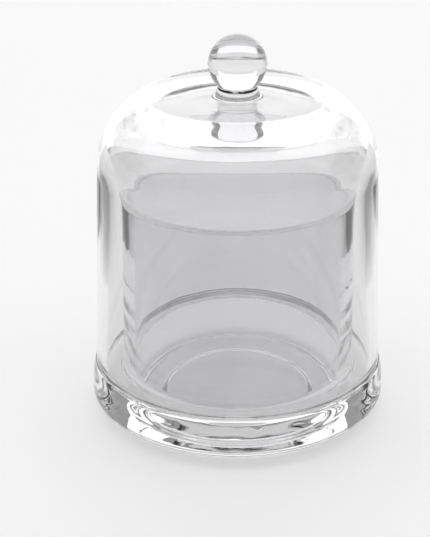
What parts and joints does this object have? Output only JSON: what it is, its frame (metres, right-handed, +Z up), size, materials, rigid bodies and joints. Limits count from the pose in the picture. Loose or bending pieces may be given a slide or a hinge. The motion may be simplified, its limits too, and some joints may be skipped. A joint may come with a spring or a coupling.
{
  "type": "dappen dish",
  "caption": "Covered glass dish: a straight tumbler on a thick round foot, under a lift-off glass bell cover with a solid ball knob.",
  "frame": {"origin": "centre of the underside of the foot, on the surface that the dish stands on", "axes": "+Z up along the common axis of the foot, the tumbler, the bell and the knob; X and Y are alike, because the dish is round"},
  "size_m": [0.085, 0.085, 0.11],
  "materials": {
    "base_glass": "clear, polished, fire-finished",
    "cover_glass": "clear, polished, fire-finished"
  },
  "bodies": {
    "base": {"foot": "base_glass", "tumbler": "base_glass"},
    "cover": {"bell_shell": "cover_glass", "knob": "cover_glass"}
  },
  "joints": [
    {"name": "cover_lift", "type": "slide", "parent": "base", "child": "cover", "axis": [0, 0, 1], "range_m": [0, 0.08]}
  ]
}
